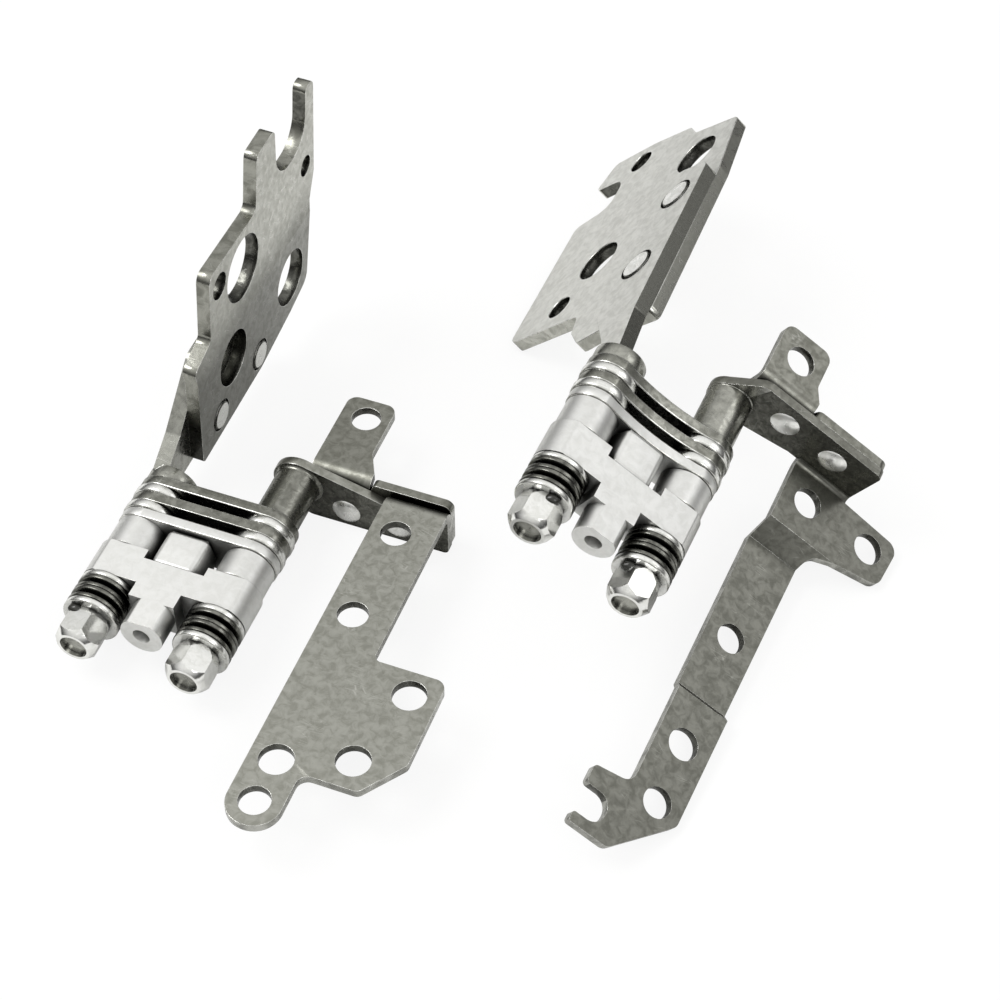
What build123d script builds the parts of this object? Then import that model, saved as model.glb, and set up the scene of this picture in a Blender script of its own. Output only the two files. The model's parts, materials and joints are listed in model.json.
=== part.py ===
"""A left and a right double-shaft friction hinge of a folding laptop, lying side by side on the floor."""

import os
from dataclasses import dataclass
from math import cos, radians, sin, tan

from build123d import *

# Shafts, all sizes in millimetres
SHAFT_SPACING = 10.35
SHAFT_RADIUS = 1.6
SHAFT_FLAT = 1.3
THREAD_RADIUS = 1.25
RUNNING_GAP = 0.04
KEY_GAP = 0.02
STUB_RADIUS = 2.1
STUB_LENGTH = 5.4
TENON_RADIUS = 1.4

# Stack along the shafts, counted from the outer link plate's outer face towards the nuts
LINK_PLATE = 1.05
LINK_END_RADIUS = 2.5
LINK_WAIST = 0.7
FRICTION_WASHER = 0.9
WASHER_RADIUS = 2.6
CAM_LENGTH = 3.05
CAM_RADIUS = 2.4
CAM_NOTCH = 0.45
LUG_LENGTH = 3.55
LUG_RADIUS = 2.6
BLOCK_TOP = 2.3
BLOCK_RECESS = 0.95
RECESS_CLEARANCE = 0.15
SEAT_WASHER = 0.6
DISC_COUNT = 4
DISC_SHEET = 0.36
DISC_CONE = 0.24
DISC_GAP = 0.02
NUT_LENGTH = 3.1
NUT_FLATS = 3.7
NUT_RECESS = 0.4
NUT_BACK_TAPER = 0.9
NUT_FRONT_TAPER = 0.75
NUT_NOSE_STEP = 0.3

MIDDLE_AT = LINK_PLATE + FRICTION_WASHER
INNER_AT = 2 * MIDDLE_AT
CAM_AT = INNER_AT + LINK_PLATE
LUG_AT = CAM_AT + CAM_LENGTH
SEAT_AT = LUG_AT + LUG_LENGTH
DISC_AT = SEAT_AT + SEAT_WASHER
DISC_PITCH = DISC_SHEET + DISC_CONE + DISC_GAP
END_AT = DISC_AT + DISC_COUNT * DISC_PITCH - DISC_GAP
NUT_AT = END_AT + SEAT_WASHER

# Bearing block post, clear of the washers beside it
POST_LENGTH = 4.1
POST_CLEARANCE = 0.625
POST_RADIUS = SHAFT_SPACING / 2 - WASHER_RADIUS - POST_CLEARANCE
POST_CENTRE = 0.65
POST_SHOULDER = 1.5
POST_SHOULDER_CLEARANCE = 0.275
POST_SHOULDER_REACH = SHAFT_SPACING / 2 - WASHER_RADIUS - POST_SHOULDER_CLEARANCE
POST_SHOULDER_DEPTH = 1.3
POST_HOLE_RADIUS = 0.8

# Lock block between the cams
LOCK_TRAVEL = 0.6
LOCK_NOSE_GAP = 0.075
LOCK_HALF_WIDTH = SHAFT_SPACING / 2 - CAM_RADIUS - LOCK_NOSE_GAP - LOCK_TRAVEL / 2
LOCK_SLOPE = 0.5
LOCK_HALF_TOP = LOCK_HALF_WIDTH - LOCK_SLOPE
LOCK_HALF_HEIGHT = 2.15
LOCK_REST = -LOCK_TRAVEL / 2
LOCK_GAP = 0.05
LOCK_CORNER = 0.5
RECESS_HALF_WIDTH = LOCK_HALF_WIDTH + LOCK_TRAVEL / 2 + RECESS_CLEARANCE

# Sheet metal
SHEET = 0.85
BEND_INNER = 0.5
BEND_OUTER = BEND_INNER + SHEET
EAR_LUG_TOP = 77.0
EAR_LUG_BOTTOM = 218.0
EAR_LUG_OVERLAP = 0.02

# Lid side
LEAF = 1.45
LID_SHEET = 1.3
BOSS_LENGTH = 1.3
BOSS_RADIUS = 2.4
RIVET_SHANK_STEP = 0.25
RIVET_SEAT_RIM = 0.25
RIVET_SEAT_DEPTH = 0.3
RIVET_PROUD = 0.12

# Base rivets
BASE_RIVET_SHANK = 0.9
BASE_RIVET_HEAD = 1.4
BASE_RIVET_DOME = 0.5

# Places on the floor
LEFT_PLACE = (-23.3, -8.8)
RIGHT_PLACE = (12.3, 6.7)
RIGHT_YAW = 3.9
PARTS_FOLDER = "parts"


@dataclass(frozen=True)
class Sheet:
    """A sheet outline: corners (x, y, rounding) and round holes (x, y, radius)."""

    corners: tuple
    holes: tuple


@dataclass(frozen=True)
class Hinge:
    """What differs between the two hinges; side is +1 with lid and base plate upward, -1 downward."""

    name: str
    side: int
    lid_angle: float
    stub_flare: float
    ear_depth: float
    ear_end: float
    base_left: float
    base_outer: float
    base_jogs: tuple
    base: Sheet
    lid: Sheet
    lid_face: float
    lid_jog: tuple
    leaf: tuple
    lid_rivets: tuple
    lid_rivet_head: float
    tab: Sheet
    tab_left: float
    tab_level: float
    tab_reach: float
    base_rivets: tuple
    nut_turns: tuple


LEFT = Hinge(
    name="left",
    side=1,
    lid_angle=92.2,
    stub_flare=0.35,
    ear_depth=3.9,
    ear_end=14.5,
    base_left=8.6,
    base_outer=1.5,
    base_jogs=(),
    base=Sheet(
        corners=(
            (8.6, STUB_LENGTH - BEND_INNER, 0),
            (14.5, STUB_LENGTH - BEND_INNER, 0),
            (14.5, -11.5, 0.6),
            (21.2, -11.5, 1.0),
            (21.2, -20.3, 0.8),
            (18.4, -24.1, 0.8),
            (13.4, -24.1, 1.0),
            (13.4, -30.1, 2.35),
            (8.6, -30.1, 2.35),
        ),
        holes=(
            (11.0, 1.85, 1.37),
            (11.0, -7.7, 1.37),
            (18.7, -13.85, 1.5),
            (16.9, -21.45, 1.5),
            (11.0, -23.5, 1.5),
            (11.0, -27.7, 1.37),
        ),
    ),
    lid=Sheet(
        corners=(
            (5.2, -0.9, 0.4),
            (18.0, -0.6, 2.0),
            (24.6, 0.5, 2.0),
            (28.6, 1.5, 1.6),
            (29.9, 9.3, 2.0),
            (31.5, 13.0, 2.0),
            (32.0, 23.6, 0.8),
            (30.3, 23.7, 0.7),
            (29.8, 17.9, 3.0),
            (23.6, 17.9, 2.7),
            (23.7, 24.2, 0.7),
            (19.9, 24.1, 0.8),
            (19.1, 18.3, 0.9),
            (9.5, 18.6, 1.0),
            (8.9, 11.5, 0.8),
            (5.5, 10.6, 0.9),
        ),
        holes=(
            (15.9, 14.2, 3.25),
            (25.0, 4.8, 2.85),
            (12.5, 6.0, 2.75),
            (11.3, 16.2, 1.3),
            (29.7, 14.9, 1.05),
        ),
    ),
    lid_face=1.0,
    lid_jog=(9.2, 10.3, -0.2),
    leaf=(
        (0.7, -1.2, 0.3),
        (21.6, -1.2, 0.8),
        (21.6, 4.2, 1.6),
        (17.0, 9.0, 1.5),
        (8.8, 9.0, 1.5),
        (3.7, 3.9, 1.4),
        (0.7, 1.8, 0.5),
    ),
    lid_rivets=((9.3, 1.5), (17.7, 1.35)),
    lid_rivet_head=1.35,
    tab=Sheet(
        corners=((0.8, 0, 0), (6.6, 0, 0), (5.5, 2.2, 1.0), (5.5, 8.2, 1.0), (0.8, 8.2, 1.0)),
        holes=((3.3, 5.9, 1.37),),
    ),
    tab_left=0.8,
    tab_level=1.5,
    tab_reach=3.9,
    base_rivets=((4.6, -2.1), (9.6, -2.1)),
    nut_turns=(10.0, 35.0),
)

# Corners of the right hinge that touch the floor
RIGHT_SIDE_TAB = (20.4, -0.2, 1.1)
RIGHT_HOOK = (13.45, -30.8, 0.9)
RIGHT_LID_CORNER = (13.3, 24.4, 1.2)

RIGHT = Hinge(
    name="right",
    side=-1,
    lid_angle=80.0,
    stub_flare=0.1,
    ear_depth=4.6,
    ear_end=14.3,
    base_left=8.4,
    base_outer=1.5,
    base_jogs=((-1.2, -2.6, 2.4), (-19.2, -19.7, -0.5)),
    base=Sheet(
        corners=(
            (8.4, STUB_LENGTH - BEND_INNER, 0),
            (14.3, STUB_LENGTH - BEND_INNER, 0),
            (20.8, 4.5, 1.1),
            RIGHT_SIDE_TAB,
            (13.7, -1.6, 0.8),
            (13.4, -19.2, 0),
            (13.6, -19.7, 0),
            RIGHT_HOOK,
            (8.7, -36.05, 1.0),
            (4.75, -36.05, 0.3),
            (4.75, -35.05, 0.3),
            (7.4, -35.05, 1.3),
            (7.4, -32.3, 1.3),
            (4.7, -32.3, 0.4),
            (4.7, -30.5, 0.4),
            (8.3, -29.9, 1.2),
        ),
        holes=(
            (11.05, 2.3, 1.4),
            (18.1, 2.4, 1.45),
            (10.9, -12.5, 1.35),
            (10.9, -24.1, 1.42),
            (11.0, -30.0, 1.35),
        ),
    ),
    lid=Sheet(
        corners=(
            (8.0, 0.1, 0.5),
            (28.0, 1.9, 2.0),
            (36.4, 3.8, 1.0),
            (37.5, 10.6, 0.6),
            (39.1, 12.1, 0.6),
            (39.8, 18.0, 2.0),
            (39.7, 24.1, 0.9),
            (36.0, 25.2, 0.5),
            (35.7, 20.3, 1.9),
            (31.1, 20.3, 1.8),
            (30.2, 24.8, 0.9),
            RIGHT_LID_CORNER,
            (12.7, 13.4, 0.9),
            (10.0, 12.6, 0.9),
            (7.9, 10.5, 0.9),
            (8.5, 6.9, 1.0),
        ),
        holes=(
            (37.4, 18.8, 1.35),
            (15.9, 18.2, 1.35),
            (32.9, 7.9, 2.4),
            (21.3, 15.6, 2.4),
        ),
    ),
    lid_face=1.4,
    lid_jog=(),
    leaf=(
        (0.7, -1.2, 0.3),
        (7.0, 0.1, 2.0),
        (27.2, 1.7, 0.9),
        (27.9, 7.0, 1.6),
        (8.0, 6.0, 1.5),
        (3.6, 2.6, 1.5),
        (0.7, 1.8, 0.4),
    ),
    lid_rivets=((14.2, 4.2), (23.8, 4.3)),
    lid_rivet_head=1.55,
    tab=Sheet(
        corners=((0.1, 0, 0), (6.0, 0, 0), (5.2, 1.4, 0.8), (5.2, 5.2, 1.0), (0.1, 5.2, 1.0)),
        holes=((2.7, 2.5, 1.4),),
    ),
    tab_left=0.1,
    tab_level=-4.6,
    tab_reach=1.6,
    base_rivets=((4.8, -2.2), (10.3, -2.2)),
    nut_turns=(20.0, 5.0),
)


def rounded_outline(corners):
    """Draws a closed outline whose corners (x, y, rounding) are joined by tangent arcs."""
    runs = []
    for index, (x, y, rounding) in enumerate(corners):
        corner = Vector(x, y)
        before = (Vector(*corners[index - 1][:2]) - corner).normalized()
        after = (Vector(*corners[(index + 1) % len(corners)][:2]) - corner).normalized()
        half = radians(before.get_angle(after)) / 2
        reach = rounding / tan(half)
        middle = corner + (before + after).normalized() * (rounding / sin(half) - rounding)
        runs.append((corner + before * reach, middle, corner + after * reach, rounding))
    for index, (start, middle, stop, rounding) in enumerate(runs):
        if rounding:
            ThreePointArc(start, middle, stop)
        Line(stop, runs[(index + 1) % len(runs)][0])


def flatted(radius, flat):
    """Returns the face of a shaft with two flats."""
    with BuildSketch() as face:
        Circle(radius)
        Rectangle(2 * radius, 2 * flat, mode=Mode.INTERSECT)
    return face.sketch


def across(frame, toward_nuts, shaft_x):
    """Returns the plane square to the shafts, x along the link, y up, normal towards the nuts."""
    origin = frame.from_local_coords(Vector(shaft_x, -toward_nuts, 0))
    return Plane(origin=origin, x_dir=frame.x_dir, z_dir=-frame.y_dir)


def along(frame, toward_nuts, shaft_x):
    """Returns a plane through a shaft's axis, x along the link, y away from the nuts."""
    origin = frame.from_local_coords(Vector(shaft_x, -toward_nuts, 0))
    return Plane(origin=origin, x_dir=frame.x_dir, z_dir=frame.z_dir)


def lid_plane(hinge, frame, inward):
    """Returns the lid's sketch plane, x along the shaft, y away from it, moved inward by an offset."""
    turn = radians(hinge.lid_angle)
    inner = frame.x_dir * sin(turn) + frame.z_dir * (hinge.side * cos(turn))
    origin = frame.from_local_coords(Vector(-SHAFT_SPACING / 2, 0, 0)) + inner * inward
    return Plane(origin=origin, x_dir=frame.y_dir, z_dir=inner * hinge.side)


def sheet_face(sheet):
    """Returns the face of a sheet: its outline with its holes."""
    with BuildSketch() as face:
        with BuildLine():
            rounded_outline(sheet.corners)
        make_face()
        for x, y, radius in sheet.holes:
            with Locations((x, y)):
                Circle(radius, mode=Mode.SUBTRACT)
    return face.sketch


def link_plate(frame, start, waist):
    """Builds a link plate with a straight edge and a waisted edge; waist is +1 or -1."""
    half = SHAFT_SPACING / 2
    low = -waist * LINK_END_RADIUS
    high = waist * LINK_END_RADIUS
    with BuildPart() as plate:
        with BuildSketch(across(frame, start, 0)):
            with BuildLine():
                Line((-half, low), (half, low))
                ThreePointArc((half, low), (half + LINK_END_RADIUS, 0), (half, high))
                ThreePointArc((half, high), (0, high - waist * LINK_WAIST), (-half, high))
                ThreePointArc((-half, high), (-half - LINK_END_RADIUS, 0), (-half, low))
            make_face()
            with Locations((-half, 0), (half, 0)):
                Circle(SHAFT_RADIUS + RUNNING_GAP, mode=Mode.SUBTRACT)
        extrude(amount=LINK_PLATE)
    return plate


def keyed_rings(frame, shaft_x, starts, length, radius):
    """Builds rings that turn with their shaft, one at each start."""
    with BuildPart() as rings:
        for start in starts:
            with BuildSketch(across(frame, start, shaft_x)):
                Circle(radius)
                add(flatted(SHAFT_RADIUS + KEY_GAP, SHAFT_FLAT + KEY_GAP), mode=Mode.SUBTRACT)
            extrude(amount=length)
    return rings


def cam(frame, shaft_x, notch_angle):
    """Builds a cam collar with a V notch for the lock block's nose."""
    notch_x = CAM_RADIUS * cos(radians(notch_angle))
    notch_y = CAM_RADIUS * sin(radians(notch_angle))
    with BuildPart() as collar:
        with BuildSketch(across(frame, CAM_AT, shaft_x)):
            Circle(CAM_RADIUS)
            add(flatted(SHAFT_RADIUS + KEY_GAP, SHAFT_FLAT + KEY_GAP), mode=Mode.SUBTRACT)
            with Locations(Location((notch_x, notch_y, 0), (0, 0, notch_angle + 45))):
                Rectangle(2 * CAM_NOTCH, 2 * CAM_NOTCH, mode=Mode.SUBTRACT)
        extrude(amount=CAM_LENGTH)
    return collar


def disc_springs(frame, shaft_x):
    """Builds a stack of disc springs, each turned over against the one before."""
    bore = SHAFT_RADIUS + 2 * KEY_GAP
    with BuildPart() as discs:
        with BuildSketch(along(frame, DISC_AT, shaft_x)):
            for index in range(DISC_COUNT):
                start = -index * DISC_PITCH
                rim = start - (index % 2) * DISC_CONE
                hub = start - ((index + 1) % 2) * DISC_CONE
                with BuildLine():
                    Polyline(
                        (bore, hub),
                        (WASHER_RADIUS, rim),
                        (WASHER_RADIUS, rim - DISC_SHEET),
                        (bore, hub - DISC_SHEET),
                        close=True,
                    )
                make_face()
        revolve(axis=Axis(along(frame, 0, shaft_x).origin, frame.y_dir))
    return discs


def nut(frame, shaft_x, turn):
    """Builds a hexagon nut, its corners turned down at both ends."""
    across_corners = NUT_FLATS / cos(radians(30)) / 2
    with BuildPart() as body:
        with BuildSketch(across(frame, NUT_AT, shaft_x)):
            RegularPolygon(NUT_FLATS / 2, 6, major_radius=False, rotation=turn)
            Circle(THREAD_RADIUS, mode=Mode.SUBTRACT)
        extrude(amount=NUT_LENGTH)
        with BuildSketch(along(frame, NUT_AT, shaft_x)):
            with BuildLine():
                Polyline(
                    (0, 0),
                    (NUT_FLATS / 2, 0),
                    (across_corners, -NUT_BACK_TAPER),
                    (across_corners, NUT_FRONT_TAPER - NUT_LENGTH),
                    (NUT_FLATS / 2 - NUT_NOSE_STEP, -NUT_LENGTH),
                    (0, -NUT_LENGTH),
                    close=True,
                )
            make_face()
        revolve(axis=Axis(along(frame, 0, shaft_x).origin, frame.y_dir), mode=Mode.INTERSECT)
    return body


def bearing_block(frame):
    """Builds the block that carries both shafts, with its recess and its drilled post."""
    half = SHAFT_SPACING / 2
    with BuildPart() as block:
        with BuildSketch(across(frame, LUG_AT, 0)):
            SlotCenterToCenter(SHAFT_SPACING, 2 * LUG_RADIUS)
            with Locations((0, BLOCK_TOP - LUG_RADIUS)):
                Rectangle(SHAFT_SPACING + 2 * LUG_RADIUS, 2 * LUG_RADIUS, mode=Mode.INTERSECT)
            with Locations((-half, 0), (half, 0)):
                Circle(SHAFT_RADIUS + RUNNING_GAP, mode=Mode.SUBTRACT)
        extrude(amount=LUG_LENGTH)
        with BuildSketch(across(frame, LUG_AT, 0)):
            Rectangle(2 * RECESS_HALF_WIDTH, 4 * LUG_RADIUS)
        extrude(amount=BLOCK_RECESS, mode=Mode.SUBTRACT)
        with BuildSketch(across(frame, SEAT_AT, 0)):
            with Locations((0, POST_CENTRE)):
                Circle(POST_RADIUS)
            with Locations((0, BLOCK_TOP - POST_RADIUS)):
                Rectangle(2 * POST_RADIUS, 2 * POST_RADIUS, mode=Mode.INTERSECT)
        extrude(amount=POST_LENGTH)
        with BuildSketch(across(frame, SEAT_AT, 0)):
            middle = ((POST_RADIUS - POST_SHOULDER_REACH) / 2, (BLOCK_TOP - POST_SHOULDER_DEPTH) / 2)
            with Locations(middle):
                Rectangle(POST_RADIUS + POST_SHOULDER_REACH, BLOCK_TOP + POST_SHOULDER_DEPTH)
        extrude(amount=POST_SHOULDER)
        with BuildSketch(across(frame, SEAT_AT + POST_LENGTH, 0)):
            with Locations((0, POST_CENTRE)):
                Circle(POST_HOLE_RADIUS)
        extrude(amount=-POST_LENGTH, mode=Mode.SUBTRACT)
    return block


def lock_block(frame):
    """Builds the six-sided lock block, its far upright corners rounded."""
    length = CAM_LENGTH + BLOCK_RECESS - LOCK_GAP
    with BuildPart() as block:
        with BuildSketch(across(frame, CAM_AT + LOCK_GAP, LOCK_REST)):
            with BuildLine():
                Polyline(
                    (-LOCK_HALF_WIDTH, 0),
                    (-LOCK_HALF_TOP, LOCK_HALF_HEIGHT),
                    (LOCK_HALF_TOP, LOCK_HALF_HEIGHT),
                    (LOCK_HALF_WIDTH, 0),
                    (LOCK_HALF_TOP, -LOCK_HALF_HEIGHT),
                    (-LOCK_HALF_TOP, -LOCK_HALF_HEIGHT),
                    close=True,
                )
            make_face()
        extrude(amount=length)
        far = block.faces().sort_by(Axis((0, 0, 0), frame.y_dir))[-1]
        fillet(far.edges(), LOCK_CORNER)
    return block


def turned_end(frame, shaft_x):
    """Builds the keyed length of a shaft and its threaded end."""
    with BuildPart() as end:
        with BuildSketch(across(frame, 0, shaft_x)):
            add(flatted(SHAFT_RADIUS, SHAFT_FLAT))
        extrude(amount=NUT_AT)
        with BuildSketch(across(frame, NUT_AT, shaft_x)):
            Circle(THREAD_RADIUS)
        extrude(amount=NUT_LENGTH - NUT_RECESS)
    return end


def base_shaft(hinge, frame):
    """Builds the base shaft: tenon in the ear, flared thick end, keyed length and thread."""
    flare = hinge.stub_flare
    with BuildPart() as shaft:
        with BuildSketch(along(frame, -STUB_LENGTH, SHAFT_SPACING / 2)):
            with BuildLine():
                Polyline(
                    (STUB_RADIUS, -flare),
                    (STUB_RADIUS, -STUB_LENGTH),
                    (0, -STUB_LENGTH),
                    (0, SHEET),
                    (TENON_RADIUS, SHEET),
                    (TENON_RADIUS, 0),
                    (STUB_RADIUS + flare, 0),
                )
                RadiusArc((STUB_RADIUS + flare, 0), (STUB_RADIUS, -flare), -flare)
            make_face()
        revolve(axis=Axis(along(frame, 0, SHAFT_SPACING / 2).origin, frame.y_dir))
        add(turned_end(frame, SHAFT_SPACING / 2).part)
    return shaft


def lid_shaft(hinge, frame):
    """Builds the lid shaft with its boss and the flat leaf that the lid plate is riveted to."""
    leaf_face = hinge.lid_face - LID_SHEET
    with BuildPart() as shaft:
        with BuildSketch(across(frame, -BOSS_LENGTH, -SHAFT_SPACING / 2)):
            Circle(BOSS_RADIUS)
        extrude(amount=BOSS_LENGTH)
        with BuildSketch(lid_plane(hinge, frame, leaf_face)):
            with BuildLine():
                rounded_outline(hinge.leaf)
            make_face()
            with Locations(*hinge.lid_rivets):
                Circle(hinge.lid_rivet_head - RIVET_SHANK_STEP, mode=Mode.SUBTRACT)
        extrude(amount=-hinge.side * LEAF)
        with BuildSketch(lid_plane(hinge, frame, leaf_face - LEAF)):
            with Locations(*hinge.lid_rivets):
                Circle(hinge.lid_rivet_head + RIVET_SEAT_RIM)
        extrude(amount=hinge.side * RIVET_SEAT_DEPTH, mode=Mode.SUBTRACT)
        add(turned_end(frame, -SHAFT_SPACING / 2).part)
    return shaft


def lid_bracket(hinge, frame):
    """Builds the stamped lid plate with its jog and its rivet seats."""
    far = 60.0
    face = hinge.lid_face
    faces = [(-far, face)]
    if hinge.lid_jog:
        start, stop, offset = hinge.lid_jog
        faces += [(start, face), (stop, face + offset), (far, face + offset)]
    else:
        faces.append((far, face))
    profile = faces + [(x, y - LID_SHEET) for x, y in reversed(faces)]
    plane = lid_plane(hinge, frame, 0)
    across_lid = Plane(origin=plane.origin, x_dir=plane.y_dir, z_dir=plane.x_dir)
    with BuildPart() as plate:
        with BuildSketch(plane):
            add(sheet_face(hinge.lid))
            with Locations(*hinge.lid_rivets):
                Circle(hinge.lid_rivet_head - RIVET_SHANK_STEP, mode=Mode.SUBTRACT)
        extrude(amount=far, both=True)
        with BuildSketch(across_lid):
            with BuildLine():
                Polyline(*[(x, hinge.side * y) for x, y in profile], close=True)
            make_face()
        extrude(amount=far, both=True, mode=Mode.INTERSECT)
        with BuildSketch(lid_plane(hinge, frame, face)):
            with Locations(*hinge.lid_rivets):
                Circle(hinge.lid_rivet_head + RIVET_SEAT_RIM)
        extrude(amount=-hinge.side * RIVET_SEAT_DEPTH, mode=Mode.SUBTRACT)
    return plate


def lid_rivets(hinge, frame):
    """Builds the two rivets through leaf and lid plate, heads seated at both faces."""
    leaf_seat = hinge.lid_face - LID_SHEET - LEAF + RIVET_SEAT_DEPTH
    lid_seat = hinge.lid_face - RIVET_SEAT_DEPTH
    with BuildPart() as rivets:
        with BuildSketch(lid_plane(hinge, frame, leaf_seat)):
            with Locations(*hinge.lid_rivets):
                Circle(hinge.lid_rivet_head - RIVET_SHANK_STEP)
        extrude(amount=hinge.side * (lid_seat - leaf_seat))
        for seat, outward in ((leaf_seat, -hinge.side), (lid_seat, hinge.side)):
            with BuildSketch(lid_plane(hinge, frame, seat)):
                with Locations(*hinge.lid_rivets):
                    Circle(hinge.lid_rivet_head)
            extrude(amount=outward * (RIVET_SEAT_DEPTH + RIVET_PROUD))
    return rivets


def base_plane(hinge, frame, level):
    """Returns the base plate's sketch plane, x from the base shaft, y along it, at a level."""
    origin = frame.from_local_coords(Vector(SHAFT_SPACING / 2, 0, hinge.side * level))
    return Plane(origin=origin, x_dir=frame.x_dir, z_dir=frame.z_dir)


def fold_plane(hinge, frame, x):
    """Returns the plane of a fold's profile, x along the shaft, y up, at a place along the link."""
    origin = frame.from_local_coords(Vector(SHAFT_SPACING / 2 + x, 0, 0))
    return Plane(origin=origin, x_dir=frame.y_dir, z_dir=frame.x_dir)


def quarter_fold(centre, ear_way, plate_way):
    """Returns the quarter ring between a sheet along the shaft and a sheet square to it."""
    slant = cos(radians(45))
    x, y = centre

    def at(radius, along_share, up_share):
        return (x + ear_way * radius * along_share, y + plate_way * radius * up_share)

    with BuildSketch() as fold:
        with BuildLine():
            Line(at(BEND_INNER, 1, 0), at(BEND_OUTER, 1, 0))
            ThreePointArc(at(BEND_OUTER, 1, 0), at(BEND_OUTER, slant, slant), at(BEND_OUTER, 0, 1))
            Line(at(BEND_OUTER, 0, 1), at(BEND_INNER, 0, 1))
            ThreePointArc(at(BEND_INNER, 0, 1), at(BEND_INNER, slant, slant), at(BEND_INNER, 1, 0))
        make_face()
    return fold.sketch


def base_bracket(hinge, frame):
    """Builds the folded base bracket: ear with a lug, bend and the plate with its jogs."""
    side = hinge.side
    lug = STUB_RADIUS + hinge.stub_flare
    lug_inside = lug - EAR_LUG_OVERLAP
    lug_top = (lug_inside * cos(radians(EAR_LUG_TOP)), side * lug_inside * sin(radians(EAR_LUG_TOP)))
    lug_bottom = (lug_inside * cos(radians(EAR_LUG_BOTTOM)), side * lug_inside * sin(radians(EAR_LUG_BOTTOM)))
    inner = hinge.base_outer - SHEET
    fold_up = inner - BEND_INNER
    far = 60.0
    tops = [(STUB_LENGTH, inner)]
    level = inner
    for start, stop, drop in hinge.base_jogs:
        tops += [(start, level), (stop, level + drop)]
        level += drop
    tops.append((-far, level))
    profile = [(x, side * y) for x, y in tops]
    profile += [(x, side * (y + SHEET)) for x, y in reversed(tops)]
    with BuildPart() as bracket:
        with BuildSketch(base_plane(hinge, frame, 0)):
            add(sheet_face(hinge.base))
        extrude(amount=far, both=True)
        with BuildSketch(fold_plane(hinge, frame, -far)):
            with BuildLine():
                Polyline(*profile, close=True)
            make_face()
        extrude(amount=2 * far, mode=Mode.INTERSECT)
        with BuildSketch(fold_plane(hinge, frame, hinge.base_left)):
            add(quarter_fold((STUB_LENGTH - BEND_INNER, side * fold_up), 1, side))
        extrude(amount=hinge.ear_end - hinge.base_left)
        with BuildSketch(across(frame, -STUB_LENGTH, SHAFT_SPACING / 2)):
            with BuildLine():
                rounded_outline(
                    (
                        (*lug_top, 0),
                        (hinge.base_left - 1.6, side * (fold_up + 0.5), 1.5),
                        (hinge.base_left, side * fold_up, 0),
                        (hinge.ear_end, side * fold_up, 0),
                        (hinge.ear_end, -side * hinge.ear_depth, 0.5),
                        (0.9, -side * hinge.ear_depth, 1.2),
                        (*lug_bottom, 0),
                    )
                )
            make_face()
            Circle(lug)
            Circle(TENON_RADIUS, mode=Mode.SUBTRACT)
            for x, y in hinge.base_rivets:
                with Locations((x, side * y)):
                    Circle(BASE_RIVET_SHANK, mode=Mode.SUBTRACT)
        extrude(amount=-SHEET)
    return bracket


def tab_bracket(hinge, frame):
    """Builds the second bracket: a sheet behind the ear and a screw tab folded away from it."""
    side = hinge.side
    toward_tab = 1 if hinge.tab_level > 0 else -1
    fold_up = hinge.tab_level - toward_tab * BEND_OUTER
    back = STUB_LENGTH + SHEET
    with BuildPart() as bracket:
        with BuildSketch(across(frame, -back, SHAFT_SPACING / 2)):
            with BuildLine():
                rounded_outline(
                    (
                        (hinge.tab_left, side * fold_up, 0),
                        (hinge.tab.corners[1][0], side * fold_up, 0),
                        (hinge.tab.corners[1][0] + 0.4, side * hinge.tab_level, 0.5),
                        (hinge.ear_end, side * hinge.tab_level, 0.8),
                        (hinge.ear_end, -side * toward_tab * hinge.tab_reach, 0.8),
                        (hinge.tab_left, -side * toward_tab * hinge.tab_reach, 0.8),
                    )
                )
            make_face()
            for x, y in hinge.base_rivets:
                with Locations((x, side * y)):
                    Circle(BASE_RIVET_SHANK, mode=Mode.SUBTRACT)
        extrude(amount=-SHEET)
        with BuildSketch(fold_plane(hinge, frame, hinge.tab_left)):
            add(quarter_fold((back + BEND_OUTER, side * fold_up), -1, side * toward_tab))
        extrude(amount=hinge.tab.corners[1][0] - hinge.tab_left)
        shift = base_plane(hinge, frame, hinge.tab_level)
        tab_origin = shift.from_local_coords(Vector(0, back + BEND_OUTER, 0))
        with BuildSketch(Plane(origin=tab_origin, x_dir=shift.x_dir, z_dir=shift.z_dir)):
            add(sheet_face(hinge.tab))
        extrude(amount=-side * toward_tab * SHEET)
    return bracket


def base_rivets(hinge, frame):
    """Builds the two rivets through ear and tab bracket, with domed heads."""
    with BuildPart() as rivets:
        for x, y in hinge.base_rivets:
            centre = SHAFT_SPACING / 2 + x
            origin = frame.from_local_coords(Vector(centre, STUB_LENGTH, hinge.side * y))
            plane = Plane(origin=origin, x_dir=frame.x_dir, z_dir=frame.z_dir)
            with BuildSketch(plane):
                with BuildLine():
                    TangentArc((0, -BASE_RIVET_DOME), (BASE_RIVET_HEAD, 0), tangent=(1, 0))
                    Polyline(
                        (BASE_RIVET_HEAD, 0),
                        (BASE_RIVET_SHANK, 0),
                        (BASE_RIVET_SHANK, 2 * SHEET),
                        (0, 2 * SHEET),
                        (0, -BASE_RIVET_DOME),
                    )
                make_face()
            revolve(axis=Axis(origin, frame.y_dir))
    return rivets


def corner_centre(corners, corner):
    """Returns the centre of a rounded corner of an outline."""
    index = corners.index(corner)
    spot = Vector(*corner[:2])
    before = (Vector(*corners[index - 1][:2]) - spot).normalized()
    after = (Vector(*corners[(index + 1) % len(corners)][:2]) - spot).normalized()
    half = radians(before.get_angle(after)) / 2
    return spot + (before + after).normalized() * (corner[2] / sin(half))


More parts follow.
